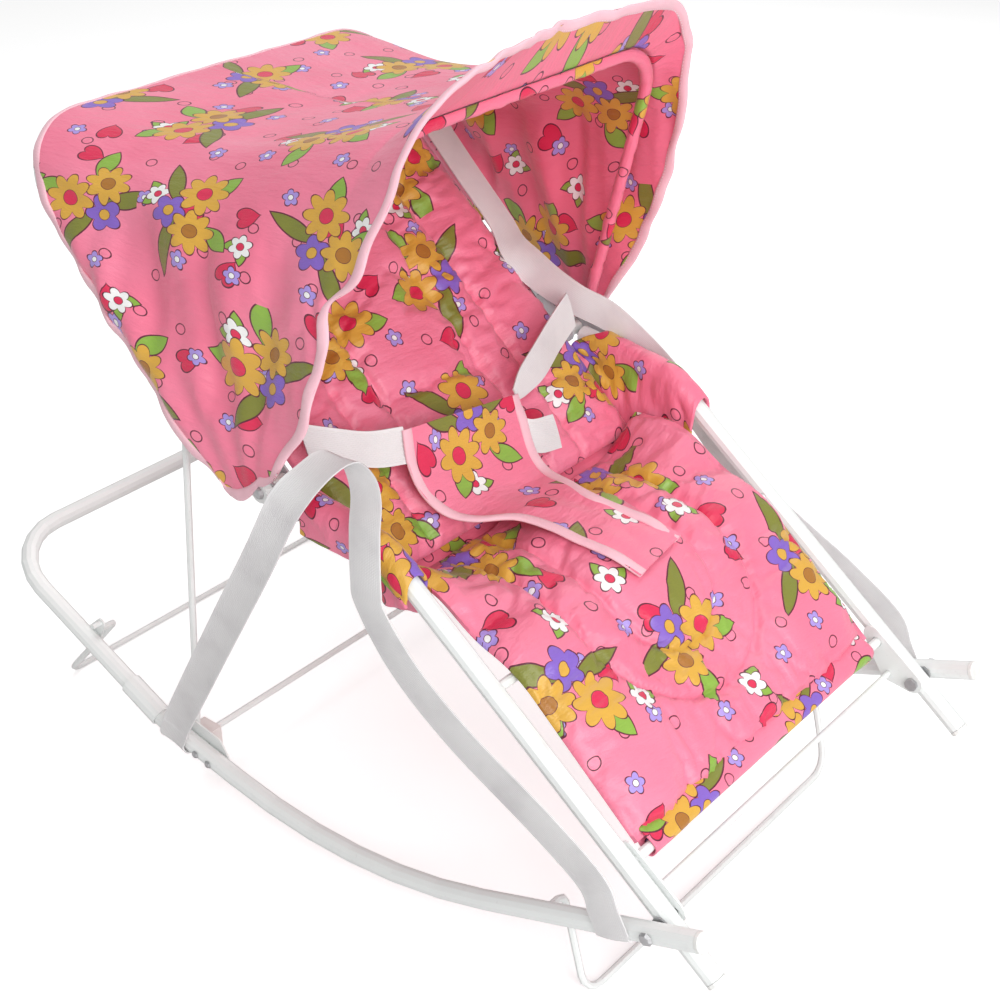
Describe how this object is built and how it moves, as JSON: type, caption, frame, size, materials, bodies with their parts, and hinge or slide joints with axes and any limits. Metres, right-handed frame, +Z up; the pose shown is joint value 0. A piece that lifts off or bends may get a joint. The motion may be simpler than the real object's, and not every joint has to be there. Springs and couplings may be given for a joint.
{
  "type": "baby rocker",
  "caption": "Folding baby rocker on two curved runners, with a quilted hammock seat, a folding hood, a waist harness and webbing carry straps.",
  "frame": {"origin": "centre of the object's outline on the floor", "axes": "+X towards the sitter's feet, +Y towards the sitter's left, +Z up"},
  "size_m": [0.7888, 0.4213, 0.6529],
  "materials": {
    "coated_steel": "white powder coat, half gloss",
    "bracket_steel": "pale grey coat, satin",
    "bare_steel": "plated, satin",
    "white_plastic": "moulded, fine grain",
    "clamp_plastic": "moulded, fine grain",
    "webbing": "woven, ribbed",
    "pink_fabric": "printed polyester with a slight sheen, quilted on the seat"
  },
  "bodies": {
    "base": {"rear_arch_tube": "coated_steel", "runner_left": "coated_steel", "runner_right": "coated_steel", "runner_cap_left": "white_plastic", "runner_cap_right": "white_plastic", "splice_sleeve_left": "coated_steel", "splice_sleeve_right": "coated_steel", "splice_plate_left": "coated_steel", "splice_plate_right": "coated_steel", "splice_clamp_left": "clamp_plastic", "splice_clamp_right": "clamp_plastic", "stopper_catch_left": "coated_steel", "stopper_catch_right": "coated_steel", "pivot_rivet_left": "bare_steel", "pivot_rivet_right": "bare_steel", "splice_rivet_rear_left": "bare_steel", "splice_rivet_rear_right": "bare_steel", "splice_rivet_front_left": "bare_steel", "splice_rivet_front_right": "bare_steel", "carry_strap_left": "webbing", "carry_strap_right": "webbing"},
    "seat_frame": {"seat_tube_left": "coated_steel", "seat_tube_right": "coated_steel", "seat_tube_cap_left": "white_plastic", "seat_tube_cap_right": "white_plastic", "gusset_left": "coated_steel", "gusset_right": "coated_steel", "hinge_bracket_left": "bracket_steel", "hinge_bracket_right": "bracket_steel", "hinge_rivet_left": "bare_steel", "hinge_rivet_right": "bare_steel", "hinge_bush_left": "white_plastic", "hinge_bush_right": "white_plastic", "bracket_rivet_left": "bare_steel", "bracket_rivet_right": "bare_steel", "seat_side_left": "pink_fabric", "seat_side_right": "pink_fabric", "waist_belt_left": "webbing", "waist_belt_right": "webbing", "hem_rod": "coated_steel", "knee_rod": "coated_steel", "front_cross_wire": "coated_steel", "seat_pad": "pink_fabric", "hem_casing": "pink_fabric", "crotch_panel": "pink_fabric"},
    "backrest": {"hinge_plate_left": "bracket_steel", "hinge_plate_right": "bracket_steel", "plate_rivet_left": "bare_steel", "plate_rivet_right": "bare_steel", "recline_hook_left": "coated_steel", "recline_hook_right": "coated_steel", "backrest_tube": "coated_steel", "back_pad": "pink_fabric", "backrest_pocket": "pink_fabric"},
    "hood": {"hood_front_bow": "coated_steel", "hood_canopy": "pink_fabric"},
    "prop": {"prop_wire": "coated_steel"},
    "front_stopper": {"front_stopper_wire": "coated_steel"},
    "rear_stopper": {"rear_stopper_wire": "coated_steel"}
  },
  "joints": [
    {"name": "seat_fold", "type": "hinge", "parent": "base", "child": "seat_frame", "pos_m": [0.3455, 0, 0.132], "axis": [0, -1, 0], "range_deg": [0, 36], "deforming": ["carry_strap_left", "carry_strap_right"]},
    {"name": "backrest_fold", "type": "hinge", "parent": "seat_frame", "child": "backrest", "pos_m": [-0.0255, 0, 0.343], "axis": [0, 1, 0], "range_deg": [0, 22], "deforming": ["waist_belt_left", "waist_belt_right", "crotch_panel"]},
    {"name": "prop_swing", "type": "hinge", "parent": "base", "child": "prop", "pos_m": [-0.1501, 0, 0.0399], "axis": [0, -1, 0], "range_deg": [0, 63.5]},
    {"name": "hood_swing", "type": "hinge", "parent": "backrest", "child": "hood", "pos_m": [-0.0255, 0, 0.343], "axis": [0, -1, 0], "range_deg": [0, 52], "deforming": ["hood_canopy"]},
    {"name": "front_stopper_swing", "type": "hinge", "parent": "base", "child": "front_stopper", "pos_m": [0.2507, 0, 0.093], "axis": [0, 1, 0], "range_deg": [0, 75]},
    {"name": "rear_stopper_swing", "type": "hinge", "parent": "base", "child": "rear_stopper", "pos_m": [-0.2743, 0, 0.1012], "axis": [0, 1, 0], "range_deg": [0, 60]}
  ],
  "couplings": [
    {"joint": "backrest_fold", "follows": "seat_fold", "ratio": 0.6111},
    {"joint": "prop_swing", "follows": "seat_fold", "ratio": 1.75}
  ]
}
